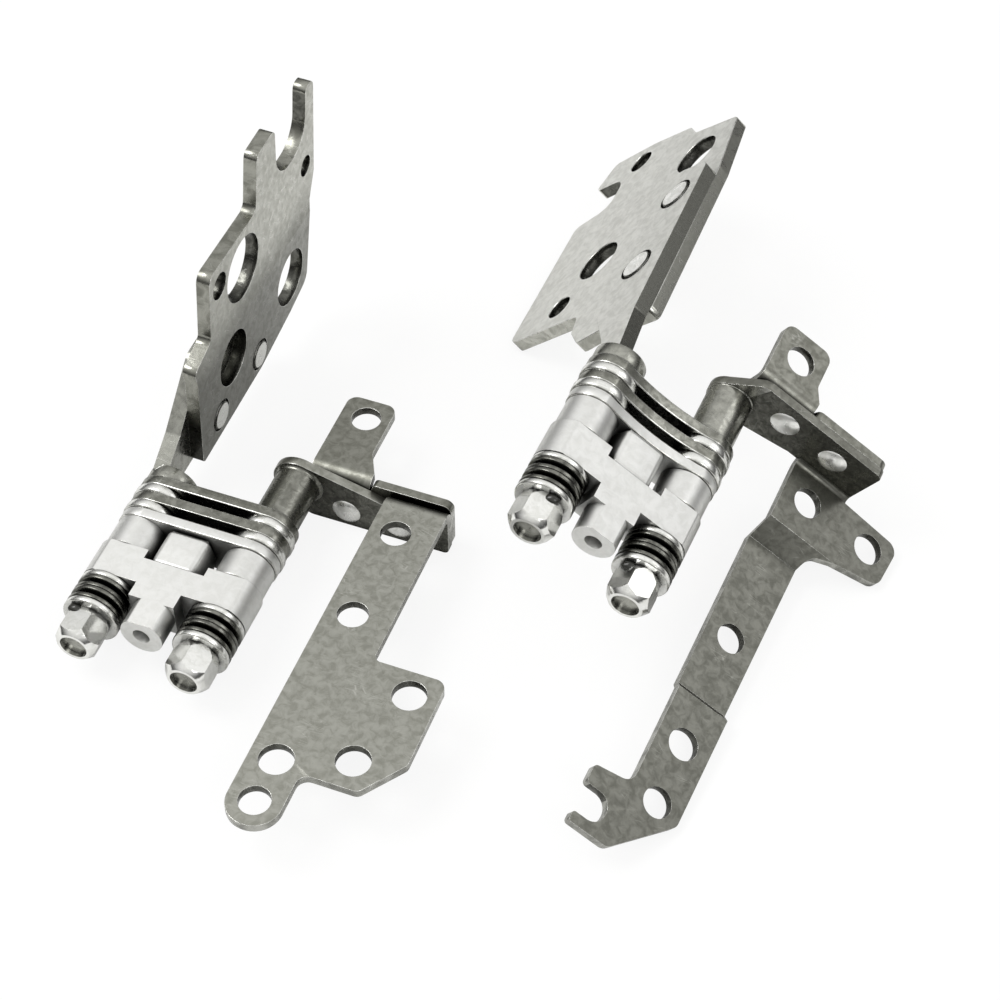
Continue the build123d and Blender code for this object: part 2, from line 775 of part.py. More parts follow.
def resting_frame(hinge):
    """Finds how the right hinge lies on the floor, from the three corners that touch it."""
    turn = radians(hinge.lid_angle)
    away = Vector(-cos(turn), 0, hinge.side * sin(turn))
    inner = Vector(sin(turn), 0, hinge.side * cos(turn))
    flat_x, flat_y, flat_z = Vector(1, 0, 0), Vector(0, 1, 0), Vector(0, 0, 1)
    lid_axis = flat_x * (-SHAFT_SPACING / 2)
    base_axis = flat_x * (SHAFT_SPACING / 2)
    hook_level = hinge.base_outer + sum(jog[2] for jog in hinge.base_jogs)
    hook = corner_centre(hinge.base.corners, RIGHT_HOOK)
    side_tab = corner_centre(hinge.base.corners, RIGHT_SIDE_TAB)
    lid_corner = corner_centre(hinge.lid.corners, RIGHT_LID_CORNER)
    lid_inset = inner * hinge.lid_face
    rounds = (
        (base_axis + hook + flat_z * (hinge.side * hook_level), RIGHT_HOOK[2], flat_x, flat_y),
        (base_axis + side_tab + flat_z * (hinge.side * hinge.base_outer), RIGHT_SIDE_TAB[2], flat_x, flat_y),
        (
            lid_axis + flat_y * lid_corner.X + away * lid_corner.Y + lid_inset,
            RIGHT_LID_CORNER[2],
            flat_y,
            away,
        ),
    )
    up = Vector(-0.4, 0.1, 0.9).normalized()
    for _ in range(30):
        touching = []
        for centre, radius, first, second in rounds:
            down = first * (-up.dot(first)) + second * (-up.dot(second))
            touching.append(centre + down.normalized() * radius)
        up = (touching[1] - touching[0]).cross(touching[2] - touching[0]).normalized()
    ahead = (flat_y - up * flat_y.dot(up)).normalized()
    beside = ahead.cross(up)
    yaw = radians(RIGHT_YAW)
    floor_x = Vector(cos(yaw), -sin(yaw), 0)
    floor_y = Vector(sin(yaw), cos(yaw), 0)

    def on_floor(arrow):
        return floor_x * arrow.dot(beside) + floor_y * arrow.dot(ahead) + Vector(0, 0, arrow.dot(up))

    height = -touching[0].dot(up)
    origin = Vector(RIGHT_PLACE[0], RIGHT_PLACE[1], height)
    return Plane(origin=origin, x_dir=on_floor(flat_x), z_dir=on_floor(Vector(0, 0, 1)))


def hinge_pieces(hinge, frame):
    """Builds every piece of one hinge and returns them by node name."""
    lid_x, base_x = -SHAFT_SPACING / 2, SHAFT_SPACING / 2
    friction_at = (LINK_PLATE, MIDDLE_AT + LINK_PLATE)
    lid_turn, base_turn = hinge.nut_turns
    pieces = {
        "lid_bracket": lid_bracket(hinge, frame),
        "lid_shaft": lid_shaft(hinge, frame),
        "lid_rivets": lid_rivets(hinge, frame),
        "base_bracket": base_bracket(hinge, frame),
        "tab_bracket": tab_bracket(hinge, frame),
        "base_shaft": base_shaft(hinge, frame),
        "base_rivets": base_rivets(hinge, frame),
        "outer_link": link_plate(frame, 0, -hinge.side),
        "middle_link": link_plate(frame, MIDDLE_AT, -hinge.side),
        "inner_link": link_plate(frame, INNER_AT, -hinge.side),
        "lid_friction_washers": keyed_rings(frame, lid_x, friction_at, FRICTION_WASHER, WASHER_RADIUS),
        "base_friction_washers": keyed_rings(frame, base_x, friction_at, FRICTION_WASHER, WASHER_RADIUS),
        "lid_cam": cam(frame, lid_x, 0),
        "base_cam": cam(frame, base_x, 270),
        "lock_block": lock_block(frame),
        "bearing_block": bearing_block(frame),
        "lid_seat_washer": keyed_rings(frame, lid_x, (SEAT_AT,), SEAT_WASHER, WASHER_RADIUS),
        "base_seat_washer": keyed_rings(frame, base_x, (SEAT_AT,), SEAT_WASHER, WASHER_RADIUS),
        "lid_disc_springs": disc_springs(frame, lid_x),
        "base_disc_springs": disc_springs(frame, base_x),
        "lid_end_washer": keyed_rings(frame, lid_x, (END_AT,), SEAT_WASHER, WASHER_RADIUS),
        "base_end_washer": keyed_rings(frame, base_x, (END_AT,), SEAT_WASHER, WASHER_RADIUS),
        "lid_nut": nut(frame, lid_x, lid_turn),
        "base_nut": nut(frame, base_x, base_turn),
    }
    return {f"{hinge.name}_{node}": piece.part for node, piece in pieces.items()}


left_frame = Plane(
    origin=(LEFT_PLACE[0], LEFT_PLACE[1], LEFT.ear_depth), x_dir=(1, 0, 0), z_dir=(0, 0, 1)
)
right_frame = resting_frame(RIGHT)
pieces = {**hinge_pieces(LEFT, left_frame), **hinge_pieces(RIGHT, right_frame)}

# The pair is centred over the origin with the floor at zero
boxes = [piece.bounding_box() for piece in pieces.values()]
centre_x = (min(box.min.X for box in boxes) + max(box.max.X for box in boxes)) / 2
centre_y = (min(box.min.Y for box in boxes) + max(box.max.Y for box in boxes)) / 2
lowest_z = min(box.min.Z for box in boxes)
to_origin = Location((-centre_x, -centre_y, -lowest_z))

os.makedirs(PARTS_FOLDER, exist_ok=True)
for node, piece in pieces.items():
    placed = piece.moved(to_origin)
    placed.label = node
    export_step(placed, f"{PARTS_FOLDER}/{node}.step")
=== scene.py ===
"""Dresses a pair of laptop hinges: rounded steel pieces, worn finishes with painted shade and highlights,
studio and camera.
"""

import json
import logging
from dataclasses import dataclass
from enum import Enum
from math import cos, radians, sin

import bpy
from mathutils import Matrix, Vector
from mathutils.bvhtree import BVHTree

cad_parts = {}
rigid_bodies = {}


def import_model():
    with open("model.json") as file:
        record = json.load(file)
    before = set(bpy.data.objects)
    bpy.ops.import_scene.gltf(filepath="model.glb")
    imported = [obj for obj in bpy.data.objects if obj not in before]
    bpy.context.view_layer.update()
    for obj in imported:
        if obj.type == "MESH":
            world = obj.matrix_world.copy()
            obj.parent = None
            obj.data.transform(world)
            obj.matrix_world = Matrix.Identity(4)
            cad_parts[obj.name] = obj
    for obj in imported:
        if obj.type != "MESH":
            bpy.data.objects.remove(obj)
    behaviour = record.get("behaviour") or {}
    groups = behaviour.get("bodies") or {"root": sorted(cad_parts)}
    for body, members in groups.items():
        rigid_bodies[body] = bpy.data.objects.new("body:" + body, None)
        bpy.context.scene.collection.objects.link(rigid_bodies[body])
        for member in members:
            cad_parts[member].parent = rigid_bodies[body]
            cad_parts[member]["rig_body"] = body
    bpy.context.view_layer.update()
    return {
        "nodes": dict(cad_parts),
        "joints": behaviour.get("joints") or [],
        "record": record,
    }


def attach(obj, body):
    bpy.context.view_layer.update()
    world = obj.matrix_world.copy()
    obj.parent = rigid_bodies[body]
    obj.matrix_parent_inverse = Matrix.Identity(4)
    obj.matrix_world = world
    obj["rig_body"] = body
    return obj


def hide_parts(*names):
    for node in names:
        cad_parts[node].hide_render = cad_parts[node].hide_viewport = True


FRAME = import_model()
LOG = logging.getLogger("hinges")
MM = 0.001

Colour = tuple[float, float, float]
Point = tuple[float, float, float]


def socket(group: bpy.types.NodeTree, name: str, kind: str, way: str, value: float | None = None) -> None:
    """Adds a named socket to a node group.

    Args:
        group: The node group.
        name: The socket's name.
        kind: The socket type, such as NodeSocketFloat.
        way: INPUT or OUTPUT.
        value: The default of an input, if it has one.
    """
    made = group.interface.new_socket(name=name, in_out=way, socket_type=kind)
    if value is not None:
        made.default_value = value


class Effect:
    """The shared surface effects, each a node group that is built once."""

    @staticmethod
    def _begin(name: str) -> tuple[bpy.types.NodeTree, bpy.types.Node, bpy.types.Node]:
        """Starts a node group.

        Args:
            name: The group's name.

        Returns:
            The group, its input node and its output node.
        """
        group = bpy.data.node_groups.new(name, "ShaderNodeTree")
        return group, group.nodes.new("NodeGroupInput"), group.nodes.new("NodeGroupOutput")

    @classmethod
    def tarnish(cls) -> bpy.types.NodeTree:
        """Builds soft cloudy patches with finer mottling inside them.

        Returns:
            The node group, with a mask from 0 to 1.
        """
        name = "tarnish_patches"
        if name in bpy.data.node_groups:
            return bpy.data.node_groups[name]
        group, given, result = cls._begin(name)
        socket(group, "Vector", "NodeSocketVector", "INPUT")
        socket(group, "Scale", "NodeSocketFloat", "INPUT", 300.0)
        socket(group, "Mask", "NodeSocketFloat", "OUTPUT")
        cloud = group.nodes.new("ShaderNodeTexNoise")
        cloud.inputs["Detail"].default_value = 6.0
        cloud.inputs["Roughness"].default_value = 0.62
        cloud.inputs["Distortion"].default_value = 0.6
        spread = group.nodes.new("ShaderNodeMapRange")
        spread.interpolation_type = "SMOOTHSTEP"
        spread.inputs["From Min"].default_value = 0.34
        spread.inputs["From Max"].default_value = 0.68
        group.links.new(given.outputs["Vector"], cloud.inputs["Vector"])
        group.links.new(given.outputs["Scale"], cloud.inputs["Scale"])
        group.links.new(cloud.outputs["Fac"], spread.inputs["Value"])
        group.links.new(spread.outputs["Result"], result.inputs["Mask"])
        return group

    @classmethod
    def grain(cls) -> bpy.types.NodeTree:
        """Builds the fine stretched lines that rolling or turning leaves in steel.

        Returns:
            The node group, with a height around 0.5.
        """
        name = "drawn_grain"
        if name in bpy.data.node_groups:
            return bpy.data.node_groups[name]
        group, given, result = cls._begin(name)
        socket(group, "Vector", "NodeSocketVector", "INPUT")
        socket(group, "Stretch", "NodeSocketVector", "INPUT")
        socket(group, "Scale", "NodeSocketFloat", "INPUT", 3000.0)
        socket(group, "Height", "NodeSocketFloat", "OUTPUT")
        squeeze = group.nodes.new("ShaderNodeVectorMath")
        squeeze.operation = "MULTIPLY"
        lines = group.nodes.new("ShaderNodeTexNoise")
        lines.inputs["Detail"].default_value = 3.0
        lines.inputs["Roughness"].default_value = 0.7
        group.links.new(given.outputs["Vector"], squeeze.inputs[0])
        group.links.new(given.outputs["Stretch"], squeeze.inputs[1])
        group.links.new(squeeze.outputs["Vector"], lines.inputs["Vector"])
        group.links.new(given.outputs["Scale"], lines.inputs["Scale"])
        group.links.new(lines.outputs["Fac"], result.inputs["Height"])
        return group

    @classmethod
    def scratches(cls) -> bpy.types.NodeTree:
        """Builds sparse thin scratches and small nicks from handling.

        Returns:
            The node group, with a mask from 0 to 1.
        """
        name = "handling_scratches"
        if name in bpy.data.node_groups:
            return bpy.data.node_groups[name]
        group, given, result = cls._begin(name)
        socket(group, "Vector", "NodeSocketVector", "INPUT")
        socket(group, "Scale", "NodeSocketFloat", "INPUT", 260.0)
        socket(group, "Mask", "NodeSocketFloat", "OUTPUT")
        masks = []
        for turn, squash in ((0.5, 9.0), (-0.9, 7.0)):
            place = group.nodes.new("ShaderNodeMapping")
            place.inputs["Rotation"].default_value = (turn, 0.4, turn * 1.7)
            place.inputs["Scale"].default_value = (1.0, squash, 1.0)
            cells = group.nodes.new("ShaderNodeTexVoronoi")
            cells.feature = "DISTANCE_TO_EDGE"
            thin = group.nodes.new("ShaderNodeMapRange")
            thin.inputs["From Min"].default_value = 0.0
            thin.inputs["From Max"].default_value = 0.02
            thin.inputs["To Min"].default_value = 1.0
            thin.inputs["To Max"].default_value = 0.0
            group.links.new(given.outputs["Vector"], place.inputs["Vector"])
            group.links.new(place.outputs["Vector"], cells.inputs["Vector"])
            group.links.new(given.outputs["Scale"], cells.inputs["Scale"])
            group.links.new(cells.outputs["Distance"], thin.inputs["Value"])
            masks.append(thin)
        both = group.nodes.new("ShaderNodeMath")
        both.operation = "MAXIMUM"
        breaks = group.nodes.new("ShaderNodeTexNoise")
        breaks.inputs["Scale"].default_value = 500.0
        gate = group.nodes.new("ShaderNodeMapRange")
        gate.inputs["From Min"].default_value = 0.56
        gate.inputs["From Max"].default_value = 0.66
        kept = group.nodes.new("ShaderNodeMath")
        kept.operation = "MULTIPLY"
        group.links.new(masks[0].outputs["Result"], both.inputs[0])
        group.links.new(masks[1].outputs["Result"], both.inputs[1])
        group.links.new(given.outputs["Vector"], breaks.inputs["Vector"])
        group.links.new(breaks.outputs["Fac"], gate.inputs["Value"])
        group.links.new(both.outputs["Value"], kept.inputs[0])
        group.links.new(gate.outputs["Result"], kept.inputs[1])
        group.links.new(kept.outputs["Value"], result.inputs["Mask"])
        return group


    @classmethod
    def low_shade(cls) -> bpy.types.NodeTree:
        """Builds a painted shade that deepens downwards between two heights, with a wavy border.

        Returns:
            The node group, with a mask from 0 to 1.
        """
        name = "oil_film"
        if name in bpy.data.node_groups:
            return bpy.data.node_groups[name]
        group, given, result = cls._begin(name)
        socket(group, "Vector", "NodeSocketVector", "INPUT")
        socket(group, "Low", "NodeSocketFloat", "INPUT", 0.0)
        socket(group, "Top", "NodeSocketFloat", "INPUT", 0.01)
        socket(group, "Mask", "NodeSocketFloat", "OUTPUT")
        parts = group.nodes.new("ShaderNodeSeparateXYZ")
        waves = group.nodes.new("ShaderNodeTexNoise")
        waves.inputs["Scale"].default_value = 240.0
        waves.inputs["Detail"].default_value = 4.0
        height = group.nodes.new("ShaderNodeMath")
        height.operation = "MULTIPLY_ADD"
        height.inputs[1].default_value = 3.0 * MM
        thickness = group.nodes.new("ShaderNodeMapRange")
        thickness.interpolation_type = "SMOOTHSTEP"
        thickness.inputs["To Min"].default_value = 1.0
        thickness.inputs["To Max"].default_value = 0.0
        group.links.new(given.outputs["Vector"], parts.inputs["Vector"])
        group.links.new(given.outputs["Vector"], waves.inputs["Vector"])
        group.links.new(waves.outputs["Fac"], height.inputs[0])
        group.links.new(parts.outputs["Z"], height.inputs[2])
        group.links.new(height.outputs["Value"], thickness.inputs["Value"])
        group.links.new(given.outputs["Low"], thickness.inputs["From Min"])
        group.links.new(given.outputs["Top"], thickness.inputs["From Max"])
        group.links.new(thickness.outputs["Result"], result.inputs["Mask"])
        return group


@dataclass(frozen=True)
class SteelFinish:
    """One surface: its tones, how rough it is, its grain, its wear and its painted shade."""

    name: str
    tone: Colour
    tarnish: Colour
    scratch: Colour
    smooth: float
    rough: float
    patch_scale: float = 1300.0
    grain_scale: float = 2600.0
    grain_stretch: Point = (1.0, 1.0, 1.0)
    bump: float = 0.12
    scratch_share: float = 0.5
    # Reach and strength of the painted shade in corners.
    corner_shade_reach: float = 1.4
    corner_shade_share: float = 0.9
    # Heights and strength of the painted shade that deepens downwards.
    low_shade_from: float = 0.0
    low_shade_to: float = 0.0
    low_shade_share: float = 0.0
    metallic: float = 1.0

    def material(self) -> bpy.types.Material:
        """Builds the finish's material, or finds it if it is there already.

        Returns:
            The material.
        """
        if self.name in bpy.data.materials:
            return bpy.data.materials[self.name]
        made = bpy.data.materials.new(self.name)
        made.use_nodes = True
        tree = made.node_tree
        shader = tree.nodes["Principled BSDF"]
        shader.inputs["Metallic"].default_value = self.metallic
        place = tree.nodes.new("ShaderNodeTexCoord")
        patches = self._effect(tree, Effect.tarnish(), place)
        patches.inputs["Scale"].default_value = self.patch_scale
        grain = self._effect(tree, Effect.grain(), place)
        grain.inputs["Scale"].default_value = self.grain_scale
        grain.inputs["Stretch"].default_value = self.grain_stretch
        marks = self._effect(tree, Effect.scratches(), place)
        self._colour(tree, patches, marks, shader)
        # Painted shade low on the surface, where a strength is set.
        if self.low_shade_share:
            self._paint_low_shade(tree, self._effect(tree, Effect.low_shade(), place), shader)
        self._roughness(tree, patches, grain, shader)
        self._relief(tree, grain, marks, shader)
        return made

    @staticmethod
    def _effect(
        tree: bpy.types.NodeTree, group: bpy.types.NodeTree, place: bpy.types.Node
    ) -> bpy.types.Node:
        """Places a shared effect in a material, read at object coordinates.

        Args:
            tree: The material's nodes.
            group: The effect.
            place: The texture coordinate node.

        Returns:
            The group node.
        """
        node = tree.nodes.new("ShaderNodeGroup")
        node.node_tree = group
        tree.links.new(place.outputs["Object"], node.inputs["Vector"])
        return node

    def _colour(
        self,
        tree: bpy.types.NodeTree,
        patches: bpy.types.Node,
        marks: bpy.types.Node,
        shader: bpy.types.Node,
    ) -> None:
        """Mixes base tone, tarnish, scratches and painted shade in the corners into the colour.

        Args:
            tree: The material's nodes.
            patches: The tarnish effect.
            marks: The scratch effect.
            shader: The shader to feed.
        """
        aged = tree.nodes.new("ShaderNodeMix")
        aged.data_type = "RGBA"
        aged.inputs["A"].default_value = (*self.tone, 1.0)
        aged.inputs["B"].default_value = (*self.tarnish, 1.0)
        scored = tree.nodes.new("ShaderNodeMix")
        scored.data_type = "RGBA"
        scored.inputs["B"].default_value = (*self.scratch, 1.0)
        share = tree.nodes.new("ShaderNodeMath")
        share.operation = "MULTIPLY"
        share.inputs[1].default_value = self.scratch_share
        # Painted shade: ambient occlusion darkens corners and recesses towards near black.
        corners = tree.nodes.new("ShaderNodeAmbientOcclusion")
        corners.samples = 8
        corners.inputs["Distance"].default_value = self.corner_shade_reach * MM
        corner_shaded = tree.nodes.new("ShaderNodeMix")
        corner_shaded.data_type = "RGBA"
        corner_shaded.inputs["B"].default_value = (0.012, 0.012, 0.01, 1.0)
        depth = tree.nodes.new("ShaderNodeMapRange")
        depth.inputs["From Min"].default_value = 0.25
        depth.inputs["From Max"].default_value = 0.92
        depth.inputs["To Min"].default_value = self.corner_shade_share
        depth.inputs["To Max"].default_value = 0.0
        tree.links.new(patches.outputs["Mask"], aged.inputs["Factor"])
        tree.links.new(marks.outputs["Mask"], share.inputs[0])
        tree.links.new(share.outputs["Value"], scored.inputs["Factor"])
        tree.links.new(aged.outputs["Result"], scored.inputs["A"])
        tree.links.new(corners.outputs["AO"], depth.inputs["Value"])
        tree.links.new(depth.outputs["Result"], corner_shaded.inputs["Factor"])
        tree.links.new(scored.outputs["Result"], corner_shaded.inputs["A"])
        tree.links.new(corner_shaded.outputs["Result"], shader.inputs["Base Color"])

    def _paint_low_shade(self, tree: bpy.types.NodeTree, low_shade: bpy.types.Node, shader: bpy.types.Node) -> None:
        """Paints shade into the colour low on the surface.

        Args:
            tree: The material's nodes.
            low_shade: The painted shade that deepens downwards.
            shader: The shader to feed.
        """
        low_shade.inputs["Low"].default_value = self.low_shade_from * MM
        low_shade.inputs["Top"].default_value = self.low_shade_to * MM
        share = tree.nodes.new("ShaderNodeMath")
        share.operation = "MULTIPLY"
        share.inputs[1].default_value = self.low_shade_share
        # Painted shade: near black mixed in below the top height.
        low_shaded = tree.nodes.new("ShaderNodeMix")
        low_shaded.data_type = "RGBA"
        low_shaded.inputs["B"].default_value = (0.02, 0.02, 0.017, 1.0)
        colour = shader.inputs["Base Color"]
        dry = colour.links[0].from_socket
        tree.links.new(low_shade.outputs["Mask"], share.inputs[0])
        tree.links.new(share.outputs["Value"], low_shaded.inputs["Factor"])
        tree.links.new(dry, low_shaded.inputs["A"])
        tree.links.new(low_shaded.outputs["Result"], colour)

    def _roughness(
        self,
        tree: bpy.types.NodeTree,
        patches: bpy.types.Node,
        grain: bpy.types.Node,
        shader: bpy.types.Node,
    ) -> None:
        """Varies the roughness between its two ends by patch and grain.

        Args:
            tree: The material's nodes.
            patches: The tarnish effect.
            grain: The grain effect.
            shader: The shader to feed.
        """
        both = tree.nodes.new("ShaderNodeMath")
        both.operation = "MULTIPLY_ADD"
        both.inputs[1].default_value = 0.35
        spread = tree.nodes.new("ShaderNodeMapRange")
        spread.inputs["From Min"].default_value = 0.0
        spread.inputs["From Max"].default_value = 1.2
        spread.inputs["To Min"].default_value = self.smooth
        spread.inputs["To Max"].default_value = self.rough
        tree.links.new(grain.outputs["Height"], both.inputs[0])
        tree.links.new(patches.outputs["Mask"], both.inputs[2])
        tree.links.new(both.outputs["Value"], spread.inputs["Value"])
        tree.links.new(spread.outputs["Result"], shader.inputs["Roughness"])

    def _relief(
        self,
        tree: bpy.types.NodeTree,
        grain: bpy.types.Node,
        marks: bpy.types.Node,
        shader: bpy.types.Node,
    ) -> None:
        """Turns grain and scratches into a shallow relief.

        Args:
            tree: The material's nodes.
            grain: The grain effect.
            marks: The scratch effect.
            shader: The shader to feed.
        """
        height = tree.nodes.new("ShaderNodeMath")
        height.operation = "MULTIPLY_ADD"
        height.inputs[1].default_value = -0.5
        bump = tree.nodes.new("ShaderNodeBump")
        bump.inputs["Strength"].default_value = self.bump
        bump.inputs["Distance"].default_value = 0.04 * MM
        tree.links.new(marks.outputs["Mask"], height.inputs[0])
        tree.links.new(grain.outputs["Height"], height.inputs[2])
        tree.links.new(height.outputs["Value"], bump.inputs["Height"])
        tree.links.new(bump.outputs["Normal"], shader.inputs["Normal"])


class Finish(Enum):
    """The finishes of the pair."""

    PLATE = SteelFinish(
        "stamped_nickel_plate",
        tone=(0.37, 0.37, 0.335),
        tarnish=(0.25, 0.25, 0.22),
        scratch=(0.6, 0.6, 0.56),
        smooth=0.28,
        rough=0.4,
        corner_shade_share=0.75,
    )
    # A darker copy of the plate tone, for the right base bracket.
    WORN_PLATE = SteelFinish(
        "darker_nickel_plate",
        tone=(0.225, 0.225, 0.2),
        tarnish=(0.155, 0.155, 0.135),
        scratch=(0.5, 0.5, 0.46),
        smooth=0.32,
        rough=0.4,
        corner_shade_share=0.75,
    )
    # Painted shade: the tab plates get a darker tone than the left base plate.
    TAB = SteelFinish(
        "tab_plate_painted_shade",
        tone=(0.27, 0.27, 0.24),
        tarnish=(0.18, 0.18, 0.155),
        scratch=(0.5, 0.5, 0.47),
        smooth=0.28,
        rough=0.4,
        corner_shade_share=0.75,
    )
    # Painted light: a brighter copy of the lid plate tone, for the right lid and its leaf.
    LID = SteelFinish(
        "stamped_lid_plate_painted_light",
        tone=(0.78, 0.78, 0.745),
        tarnish=(0.68, 0.68, 0.645),
        scratch=(0.82, 0.82, 0.79),
        smooth=0.28,
        rough=0.42,
        scratch_share=0.3,
        corner_shade_share=0.75,
    )
    # Painted shade: the left lid plate, a darker copy of the right lid's tone, with shade deepening from 19
    # mm down to 13 mm height.
    OILY_LID = SteelFinish(
        "lid_plate_painted_shade",
        tone=(0.56, 0.56, 0.52),
        tarnish=(0.45, 0.45, 0.41),
        scratch=(0.68, 0.68, 0.64),
        smooth=0.24,
        rough=0.42,
        corner_shade_share=0.75,
        low_shade_from=13.0,
        low_shade_to=19.0,
        low_shade_share=0.58,
    )
    SHEARED = SteelFinish(
        "sheared_edge",
        tone=(0.46, 0.46, 0.43),
        tarnish=(0.24, 0.24, 0.22),
        scratch=(0.7, 0.7, 0.68),
        smooth=0.16,
        rough=0.36,
        patch_scale=800.0,
        bump=0.3,
        corner_shade_share=0.8,
    )
    # Painted shade: a darker copy of the lid edge tone for the left lid, near black below 9 mm height.
    OILY_EDGE = SteelFinish(
        "lid_edge_painted_shade",
        tone=(0.34, 0.34, 0.305),
        tarnish=(0.19, 0.19, 0.165),
        scratch=(0.6, 0.6, 0.57),
        smooth=0.16,
        rough=0.34,
        patch_scale=700.0,
        bump=0.25,
        low_shade_from=9.0,
        low_shade_to=10.5,
        low_shade_share=0.9,
    )
    # Painted light: a brighter copy of the lid edge tone, for the right lid.
    PALE_EDGE = SteelFinish(
        "lid_edge_painted_light",
        tone=(0.62, 0.62, 0.57),
        tarnish=(0.38, 0.38, 0.34),
        scratch=(0.7, 0.7, 0.67),
        smooth=0.2,
        rough=0.38,
        patch_scale=700.0,
        bump=0.25,
    )
    # Painted shade: a dark tone for hole and notch walls and rivet rims, which sit in shade.
    BORE = SteelFinish(
        "bore_wall_painted_shade",
        tone=(0.15, 0.15, 0.135),
        tarnish=(0.06, 0.06, 0.053),
        scratch=(0.35, 0.35, 0.33),
        smooth=0.12,
        rough=0.3,
        bump=0.4,
    )
    # Rounded edges: partly burnished wear, partly a painted highlight in a bright tone.
    RIM = SteelFinish(
        "burnished_rim_painted_highlight",
        tone=(0.8, 0.8, 0.77),
        tarnish=(0.5, 0.5, 0.47),
        scratch=(0.86, 0.86, 0.84),
        smooth=0.14,
        rough=0.3,
        corner_shade_share=0.5,
    )
    # Painted shade: near-black tone for the ear's front faces, which sit in shade.
    EAR = SteelFinish(
        "ear_face_painted_shade",
        tone=(0.17, 0.17, 0.15),
        tarnish=(0.07, 0.07, 0.06),
        scratch=(0.3, 0.3, 0.28),
        smooth=0.2,
        rough=0.4,
    )
    BLOCK = SteelFinish(
        "milled_block",
        tone=(0.78, 0.78, 0.765),
        tarnish=(0.71, 0.71, 0.69),
        scratch=(0.84, 0.84, 0.83),
        smooth=0.41,
        rough=0.45,
        grain_stretch=(0.25, 1.0, 1.0),
    )
    LEAF = SteelFinish(
        "rolled_leaf",
        tone=(0.55, 0.55, 0.51),
        tarnish=(0.4, 0.4, 0.365),
        scratch=(0.68, 0.68, 0.64),
        smooth=0.16,
        rough=0.34,
        corner_shade_share=0.3,
    )
    LINK = SteelFinish(
        "hardened_link",
        tone=(0.3, 0.3, 0.27),
        tarnish=(0.17, 0.17, 0.15),
        scratch=(0.6, 0.6, 0.57),
        smooth=0.18,
        rough=0.36,
    )
    WASHER = SteelFinish(
        "bright_washer",
        tone=(0.9, 0.9, 0.88),
        tarnish=(0.76, 0.76, 0.73),
        scratch=(0.93, 0.93, 0.92),
        smooth=0.16,
        rough=0.3,
        corner_shade_share=0.8,
    )
    TURNED = SteelFinish(
        "turned_shaft",
        tone=(0.42, 0.42, 0.38),
        tarnish=(0.26, 0.26, 0.235),
        scratch=(0.6, 0.6, 0.57),
        smooth=0.16,
        rough=0.32,
        grain_stretch=(0.3, 1.0, 0.3),
    )
    SPRING = SteelFinish(
        "blackened_spring",
        tone=(0.25, 0.25, 0.225),
        tarnish=(0.1, 0.1, 0.09),
        scratch=(0.4, 0.4, 0.37),
        smooth=0.14,
        rough=0.3,
    )
    RIVET = SteelFinish(
        "rivet_head",
        tone=(0.93, 0.93, 0.91),
        tarnish=(0.84, 0.84, 0.81),
        scratch=(0.94, 0.94, 0.92),
        smooth=0.22,
        rough=0.4,
        corner_shade_share=0.6,
    )
    NUT = SteelFinish(
        "plated_nut",
        tone=(0.92, 0.92, 0.9),
        tarnish=(0.8, 0.8, 0.77),
        scratch=(0.9, 0.9, 0.88),
        smooth=0.1,
        rough=0.2,
        scratch_share=0.3,
    )
    THREAD_LOCK = SteelFinish(
        "dried_thread_lock",
        tone=(0.035, 0.035, 0.03),
        tarnish=(0.015, 0.015, 0.012),
        scratch=(0.1, 0.1, 0.09),
        smooth=0.08,
        rough=0.2,
        patch_scale=1500.0,
        bump=0.2,
        metallic=0.0,
    )


@dataclass(frozen=True)
class Patch:
    """Faces of a piece that get a finish of their own, found by direction, area and opposite wall."""

    finish: Finish
    facing: Vector
    spread: float
    both_ways: bool = False
    least_area: float = 0.0
    wall_within: float = 0.0

    def takes(self, polygon: bpy.types.MeshPolygon, walls: BVHTree) -> bool:
        """Tells whether a face belongs to the patch.

        Args:
            polygon: The face.
            walls: All faces of the piece, to look for a wall across a hole.

        Returns:
            True where direction, area and opposite wall fit.
        """
        along = polygon.normal.dot(self.facing)
        if self.both_ways:
            along = abs(along)
        if along < cos(radians(self.spread)) or polygon.area < self.least_area * MM * MM:
            return False
        if not self.wall_within:
            return True
        start = polygon.center + polygon.normal * 0.02 * MM
        return walls.ray_cast(start, polygon.normal, self.wall_within * MM)[0] is not None


def shaded_bore_patches(plate: Vector, shaft: Vector, reach: float) -> tuple[Patch, ...]:
    """Finds the walls of a plate's holes and notches, which get painted shade.

    Args:
        plate: The direction square to the plate.
        shaft: The direction of the hinge's shafts.
        reach: How far off the opposite wall may be, in millimetres.

    Returns:
        A patch for each of two directions across the plate.
    """
    return tuple(
        Patch(Finish.BORE, way, 50.0, both_ways=True, wall_within=reach)
        for way in (shaft, plate.cross(shaft))
    )


@dataclass(frozen=True)
class HingeAxes:
    """The directions of one hinge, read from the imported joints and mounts."""

    shaft: Vector
    base_plate: Vector
    lid_plate: Vector
    tab_plate: Vector

    @classmethod
    def of(cls, side: str) -> "HingeAxes":
        """Reads the directions of a hinge.

        Args:
            side: left or right.

        Returns:
            Its directions, each of length one.
        """
        joints = {joint["name"]: joint for joint in FRAME["joints"]}
        mounts = {mount["name"]: mount for mount in FRAME["record"]["mounts"]}
        return cls(
            shaft=Vector(joints[f"{side}_lid_pivot"]["axis"]).normalized(),
            base_plate=Vector(mounts[f"{side}_base_screw_front"]["axis"]).normalized(),
            lid_plate=Vector(mounts[f"{side}_lid_screw_near"]["axis"]).normalized(),
            tab_plate=Vector(mounts[f"{side}_tab_screw"]["axis"]).normalized(),
        )


